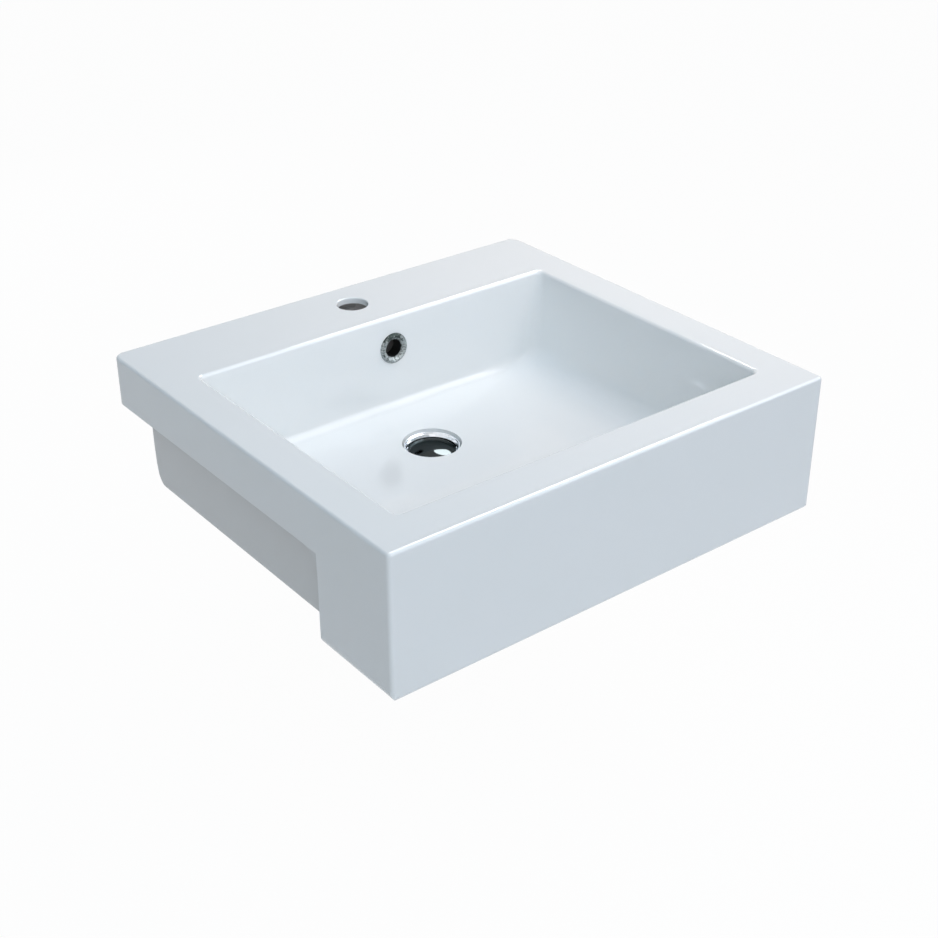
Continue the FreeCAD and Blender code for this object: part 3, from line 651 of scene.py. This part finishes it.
@dataclass
class OverflowRing:
    """Chromed ring with a rolled crest, a funnel mouth and the tube through the ceramic."""

    node: str = "overflow_ring"
    wall_draft: float = 3.0      # angle of the bowl's back wall
    proud: float = 3.8
    edge: float = 1.3
    edge_round: float = 0.4
    crest_in: float = 3.4        # from the outside in to the crest's middle
    crest_round: float = 3.0
    crest_arc: Span = (62.0, 100.0)
    crest_steps: int = 6
    mouth_r: float = 10.4
    mouth_z: float = 0.4
    mouth_round: float = 0.5
    lip: float = 1.3
    lip_drop: float = 1.5
    lip_round: float = 0.9
    tube_wall: float = 1.2
    tube_length: float = 15.0
    unplated: float = 0.2        # the tube's faces inside this much over its bore have no chrome
    crest_shade_rise: Span = (0.35, 0.95)    # heights over which the painted crest shade closes in, in radii
    facets: int = 96

    def build(self) -> None:
        """Turn the ring and stand it in the bowl's back wall."""
        low, high = node_box(self.node)
        outer = (high.x - low.x) / 2
        tilt = math.radians(self.wall_draft)
        crest_r = outer - self.crest_in
        centre = Vector(((low.x + high.x) / 2,
                         low.y + self.proud * math.cos(tilt) + crest_r * math.sin(tilt),
                         low.z + outer * math.cos(tilt)))
        tube_r = self.mouth_r + self.tube_wall
        outline = (Outline().to(outer, 0.0).to(outer, self.edge, self.edge_round)
                   .arc((crest_r, self.proud - self.crest_round), self.crest_round,
                        *self.crest_arc, self.crest_steps)
                   .to(self.mouth_r + self.lip, self.proud - self.lip_drop, self.lip_round)
                   .to(self.mouth_r, self.mouth_z, self.mouth_round)
                   .to(self.mouth_r, -self.tube_length)
                   .to(tube_r, -self.tube_length).to(tube_r, 0.0))
        ring = Piece("overflow_ring_funnel")
        ring.turn(outline, self.facets)
        for face in ring.net.faces:
            middle = face.calc_center_median()
            inside = middle.xy.length / MM < self.mouth_r + self.unplated
            face.material_index = int(inside and middle.z < 0)
        place = Matrix.Translation(centre * MM) @ Matrix.Rotation(math.pi / 2 - tilt, 4, "X")
        # Chrome on moulded ABS: greyer and less flat than chrome on brass, so its mirror image
        # breaks up.
        # The crest's heights carry a painted shade on the ring's upper crest.
        plated = PittedChrome(crest_shade_mm=(centre.z + self.crest_shade_rise[0] * outer,
                                        centre.z + self.crest_shade_rise[1] * outer))
        ring.finish(place, Body.BASIN, Slot.RING_CHROME, (plated, BARE_ABS), self.node)


@dataclass
class PopUpWaste:
    """Dished flange, tail with its thread and overflow slots, and the cartridge's spoked hub."""

    node: str = "waste_body"
    edge_round: float = 0.3      # the flange's lower edge and the tail's end
    lip_width: float = 1.3
    lip_round: float = 0.5
    step_in: Span = (0.5, 0.9)   # the fine turned step below the lip, in from it and down
    step_down: Span = (1.6, 1.9)
    step_round: float = 0.15
    dish_taper: float = 2.35
    dish_round: float = 0.5
    funnel_drop: float = 5.0
    floor_thick: float = 2.5
    floor_round: float = 0.4
    flange_height: float = 11.0
    bore_r: float = 18.455
    bore_round: float = 0.6
    shank_r: float = 20.215
    shank_round: float = 0.2
    free_length: float = 32.0    # of the threaded end
    crest_r: float = 20.955
    thread_depth: float = 1.479
    thread_pitch: float = 2.309
    thread_flank: float = 0.46   # half a tooth's foot, in pitches
    thread_crest: float = 0.09   # half its crest, in pitches
    thread_root: float = 0.1     # a tooth's foot is this deep in the core
    thread_margin: float = 1.2   # plain length at each end of the thread
    thread_facets: int = 64      # in one turn
    slot_width: float = 15.0
    slots: Span = (10.0, 18.5)   # below the flange's underside
    pillars: int = 4
    pillar_facets: int = 20
    hub_r: Span = (9.2, 12.0)
    hub_drop: float = 24.5
    hub_height: float = 5.0
    hub_round: float = 0.4
    hub_facets: int = 64
    spokes: int = 3
    spoke_width: float = 4.0
    spoke_round: float = 0.4
    spoke_sink: float = 0.4      # how deep a spoke is in the hub
    spoke_extra: float = 1.2     # how much longer it is than the gap that it bridges

    def build(self) -> None:
        """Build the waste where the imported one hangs."""
        low, high = node_box(self.node)
        centre = Vector(((low.x + high.x) / 2, (low.y + high.y) / 2, 0.0))
        waste = Piece("threaded_pop_up_waste")
        flange_r, lip_z, end_z = (high.x - low.x) / 2, high.z, low.z
        under_z = lip_z - self.flange_height
        self.flange(waste, flange_r, lip_z, under_z)
        self.tail(waste, under_z, end_z)
        self.hub(waste, under_z - self.hub_drop)
        waste.finish(Matrix.Translation(centre * MM), Body.BASIN, Slot.WASTE_CHROME,
                     (WASTE_CHROME,), self.node)

    def flange(self, waste: Piece, outer: float, lip_z: float, under_z: float) -> None:
        """Turn the dished flange and the upper tail.

        Args:
            waste: Piece that takes it.
            outer: Outside radius.
            lip_z: Height of its lip.
            under_z: Height of its underside.
        """
        floor_z = under_z + self.floor_thick
        inner = outer - self.lip_width
        dish_r, dish_z = inner - self.dish_taper, lip_z - self.funnel_drop
        slots_z = under_z - self.slots[0]
        outline = (Outline().to(outer, under_z, self.edge_round).to(outer, lip_z, self.lip_round)
                   .to(inner, lip_z, self.lip_round))
        for inward, down in zip(self.step_in, self.step_down):
            outline.to(inner - inward, lip_z - down, self.step_round)
        waste.turn(outline.to(dish_r, dish_z, self.dish_round)
                   .to(dish_r, floor_z, self.floor_round).to(self.bore_r, floor_z, self.bore_round)
                   .to(self.bore_r, slots_z).to(self.shank_r, slots_z).to(self.shank_r, under_z))

    def tail(self, waste: Piece, under_z: float, end_z: float) -> None:
        """Build the pillars between the slots, the plain shank, the thread's core and the thread.

        Args:
            waste: Piece that takes them.
            under_z: Height of the flange's underside.
            end_z: Height of the tail's lower end.
        """
        top, low = under_z - self.slots[0], under_z - self.slots[1]
        half_slot = math.degrees(math.asin(self.slot_width / 2 / self.shank_r))
        pillar = (Outline().to(self.bore_r, low).to(self.shank_r, low).to(self.shank_r, top)
                  .to(self.bore_r, top))
        share = 360 / self.pillars
        for number in range(self.pillars):
            waste.turn(pillar, self.pillar_facets, share - 2 * half_slot,
                       share * number + half_slot)
        root = self.crest_r - self.thread_depth
        free_z = end_z + self.free_length
        waste.turn(Outline().to(self.bore_r, low).to(self.bore_r, end_z, self.edge_round)
                   .to(root, end_z, self.edge_round).to(root, free_z)
                   .to(self.shank_r, free_z, self.shank_round).to(self.shank_r, low))
        flank = self.thread_pitch * self.thread_flank
        crest = self.thread_pitch * self.thread_crest
        foot_r, foot_z = root - self.thread_root, end_z + self.thread_margin
        tooth = (Outline().to(foot_r, foot_z).to(self.crest_r, foot_z + flank - crest)
                 .to(self.crest_r, foot_z + flank + crest).to(foot_r, foot_z + 2 * flank))
        turns = (self.free_length - 2 * self.thread_margin - 2 * flank) / self.thread_pitch
        waste.turn(tooth, int(self.thread_facets * turns), 360 * turns, 0.0, self.thread_pitch)

    def hub(self, waste: Piece, top: float) -> None:
        """Build the ring that holds the cartridge and its spokes.

        Args:
            waste: Piece that takes them.
            top: Height of the hub's upper face.
        """
        low = top - self.hub_height
        inner, outer = self.hub_r
        waste.turn(Outline().to(inner, low).to(outer, low, self.hub_round)
                   .to(outer, top, self.hub_round).to(inner, top), self.hub_facets)
        reach = self.bore_r - outer + self.spoke_extra
        middle = (outer - self.spoke_sink + reach / 2, 0.0, top - self.hub_height / 2)
        for spoke in range(self.spokes):
            waste.bar((reach, self.spoke_width, self.hub_height), middle,
                      90 + 360 / self.spokes * spoke, self.spoke_round)


@dataclass
class PlugCap:
    """Polished dome of the plug with its turned-down edge."""

    node: str = "plug_cap"
    dome: float = 4.5
    edge: float = 3.0
    skirt: float = 1.9
    rim: float = 2.1
    rim_round: float = 0.3
    ease: float = 0.5
    slack: float = 0.4           # the polished cap is this much smaller than its packed stand-in
    dome_steps: int = 24

    def build(self) -> None:
        """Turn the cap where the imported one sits."""
        low, high = node_box(self.node)
        centre = Vector(((low.x + high.x) / 2, (low.y + high.y) / 2, 0.0))
        outer = (high.x - low.x) / 2 - self.slack
        edge_z, apex_z = low.z + self.edge - self.slack, high.z - self.slack
        under_z = low.z + self.skirt
        shoulder = outer - self.ease
        dome_r = (shoulder ** 2 + self.dome ** 2) / (2 * self.dome)
        half = math.degrees(math.asin(shoulder / dome_r))
        outline = (Outline().to(0.0, under_z).to(outer - self.rim, under_z, self.rim_round)
                   .to(outer - self.rim, low.z, self.rim_round).to(outer, low.z, self.ease)
                   .to(outer, edge_z - self.ease, self.rim_round)
                   .arc((0.0, apex_z - dome_r), dome_r, 90 - half, 90, self.dome_steps))
        cap = Piece("plug_dome")
        cap.turn(outline)
        cap.finish(Matrix.Translation(centre * MM), Body.PLUG, Slot.WASTE_CHROME, (PAINTED_DARK_CHROME,),
                   self.node)


# ---------------------------------------------------------------- studio
@dataclass(frozen=True)
class Softbox:
    """Flat studio lamp.

    Attributes:
        name: Lamp's name.
        place: Where it hangs.
        watts: Its power.
        size: Side of the square or width of the disc.
        colour: sRGB hex colour of its light.
        aim: What it points at.
        use: Whether it lights the basin or only shows in it.
        shape: Square or disc.
    """

    name: str
    place: Point
    watts: float
    size: float
    colour: str = "#ffffff"
    aim: Point = (0.0, -250.0, 0.0)
    use: LampUse = LampUse.LIGHT
    shape: LampShape = LampShape.SQUARE

    def hang(self) -> None:
        """Make the lamp and hang it in its place."""
        light = bpy.data.lights.new(self.name, "AREA")
        light.shape = self.shape.value
        light.size = self.size * MM
        light.energy = self.watts
        light.color = linear(self.colour)[:3]
        lamp = bpy.data.objects.new(self.name, light)
        lamp.location = Vector(self.place) * MM
        lamp.rotation_mode = "QUATERNION"
        ahead = Vector(self.aim) - Vector(self.place)
        lamp.rotation_quaternion = ahead.to_track_quat("-Z", "Y")
        lamp.visible_diffuse = self.use is LampUse.LIGHT
        lamp.visible_glossy = self.use is LampUse.REFLECTION
        bpy.context.scene.collection.objects.link(lamp)


LAMPS = (
    Softbox("lamp_right", (516, -250, 971), 5.7, 700, "#fff2e9"),
    Softbox("lamp_front_left", (-1000, -1250, 1414), 5.5, 1200, "#f6fffc"),
    Softbox("lamp_above_left", (-484, -250, 1941), 4.7, 1200, "#86d2ff"),
    Softbox("lamp_front", (0, -1397, 1638), 3.2, 1200, "#b6d4ff"),
    Softbox("lamp_behind", (300, 1900, 450), 4.0, 1200),
    # A small bright window behind the basin: the white patch on the plug and thin edge lines.
    Softbox("window", (3420, 2510, 4060), 160.0, 1850, aim=(0, -211, -66),
            use=LampUse.REFLECTION, shape=LampShape.DISK),
    # A broad pale panel on the right: the soft bright bands along the rounded edges.
    Softbox("panel_right", (1950, -650, 2450), 66.0, 2800, "#f6faff", use=LampUse.REFLECTION),
    # A second one lower in front: it widens the band along the front rim's edge.
    Softbox("panel_front", (1640, -2450, 1640), 38.0, 2400, "#f6faff", use=LampUse.REFLECTION),
)


@dataclass
class Studio:
    """Camera, lamps, white surroundings and a pale floor far below the basin."""

    camera_mm: Point = (-907.55, -1414.22, 769.30)
    azimuth: float = -38.19
    elevation: float = 29.60
    lens_mm: float = 60.285
    sensor_mm: float = 36.0
    sight_m: Span = (0.01, 100.0)
    floor_mm: float = -420.0
    floor_width_mm: float = 24000.0
    floor_colour: str = "#f2f4f6"
    floor_white: float = 0.97    # share of plain white that camera and mirrors see over its shade
    sky: str = "#f0f7ff"
    sky_front: float = 1.06      # the soft light is strongest from the front
    sky_all_round: float = 0.10
    lamps: tuple[Softbox, ...] = LAMPS

    def build(self) -> None:
        """Make everything that isn't the basin."""
        self.camera()
        self.world()
        self.floor()
        for lamp in self.lamps:
            lamp.hang()
        bpy.context.scene.view_settings.view_transform = "Standard"

    def camera(self) -> None:
        """Stand the camera where the photograph was taken from."""
        lens = bpy.data.cameras.new("camera")
        lens.lens = self.lens_mm
        lens.sensor_width = self.sensor_mm
        lens.clip_start, lens.clip_end = self.sight_m
        stand = bpy.data.objects.new("camera", lens)
        turn, rise = math.radians(self.azimuth), math.radians(self.elevation)
        ahead = Vector((-math.sin(turn) * math.cos(rise), math.cos(turn) * math.cos(rise),
                        -math.sin(rise)))
        stand.location = Vector(self.camera_mm) * MM
        stand.rotation_mode = "QUATERNION"
        stand.rotation_quaternion = ahead.to_track_quat("-Z", "Y")
        bpy.context.scene.collection.objects.link(stand)
        bpy.context.scene.camera = stand

    @staticmethod
    def shows_white(tree: Tree) -> Socket:
        """Return one for what camera, mirrors and glass see, zero for light that falls on things.

        Args:
            tree: Nodes of the world or of the floor.

        Returns:
            The mask.
        """
        path = add_node(tree, "ShaderNodeLightPath")
        mirror = add_node(tree, "ShaderNodeMath",
                          {0: path.outputs["Is Camera Ray"], 1: path.outputs["Is Glossy Ray"]},
                          operation="MAXIMUM")
        glass = add_node(tree, "ShaderNodeMath",
                         {0: mirror.outputs[0], 1: path.outputs["Is Transmission Ray"]},
                         operation="MAXIMUM")
        return glass.outputs[0]

    def world(self) -> None:
        """Surround the basin with soft light that camera and mirrors see as white."""
        world = bpy.data.worlds.new("surroundings")
        bpy.context.scene.world = world
        world.use_nodes = True
        tree = world.node_tree
        tree.nodes.clear()
        way = add_node(tree, "ShaderNodeSeparateXYZ",
                       {0: add_node(tree, "ShaderNodeTexCoord").outputs["Generated"]})
        level = add_node(tree, "ShaderNodeMapRange",
                         {"Value": way.outputs["Y"], "From Min": 0.0, "From Max": -1.0,
                          "To Min": self.sky_all_round,
                          "To Max": self.sky_all_round + self.sky_front})
        soft = add_node(tree, "ShaderNodeBackground",
                        {"Color": linear(self.sky), "Strength": level.outputs[0]})
        white = add_node(tree, "ShaderNodeBackground", {"Color": WHITE, "Strength": 1.0})
        mix = add_node(tree, "ShaderNodeMixShader",
                       {0: self.shows_white(tree), 1: soft.outputs[0], 2: white.outputs[0]})
        add_node(tree, "ShaderNodeOutputWorld", {"Surface": mix.outputs[0]})

    def floor(self) -> None:
        """Lay a pale floor that the camera sees as nearly white, with a faint shadow."""
        net = bmesh.new()
        bmesh.ops.create_grid(net, x_segments=1, y_segments=1,
                              size=self.floor_width_mm * MM / 2,
                              matrix=Matrix.Translation((0, 0, self.floor_mm * MM)))
        mesh = bpy.data.meshes.new("floor")
        net.to_mesh(mesh)
        net.free()
        floor = bpy.data.objects.new("floor", mesh)
        bpy.context.scene.collection.objects.link(floor)
        material = bpy.data.materials.new("pale_studio_floor")
        material.use_nodes = True
        tree = material.node_tree
        tree.nodes.clear()
        share = add_node(tree, "ShaderNodeMath",
                         {0: self.shows_white(tree), 1: self.floor_white}, operation="MULTIPLY")
        matt = add_node(tree, "ShaderNodeBsdfDiffuse", {"Color": linear(self.floor_colour)})
        white = add_node(tree, "ShaderNodeEmission", {"Color": WHITE, "Strength": 1.0})
        mix = add_node(tree, "ShaderNodeMixShader",
                       {0: share.outputs[0], 1: matt.outputs[0], 2: white.outputs[0]})
        add_node(tree, "ShaderNodeOutputMaterial", {"Surface": mix.outputs[0]})
        mesh.materials.append(material)


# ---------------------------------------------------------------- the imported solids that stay
def dress_solids() -> None:
    """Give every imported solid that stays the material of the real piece."""
    for name, finish in CAD_FINISHES.items():
        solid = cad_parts[name]
        solid.data.materials.clear()
        solid.data.materials.append(finish.material())
        LOG.info("%s: %s", name, finish.name)


def main() -> None:
    """Dress the solids, build the pieces and light them."""
    logging.basicConfig(level=logging.INFO, format="%(message)s")
    dress_solids()
    for piece in (OverflowRing(), PopUpWaste(), PlugCap()):
        piece.build()
    Studio().build()


if __name__ == "__main__":
    main()
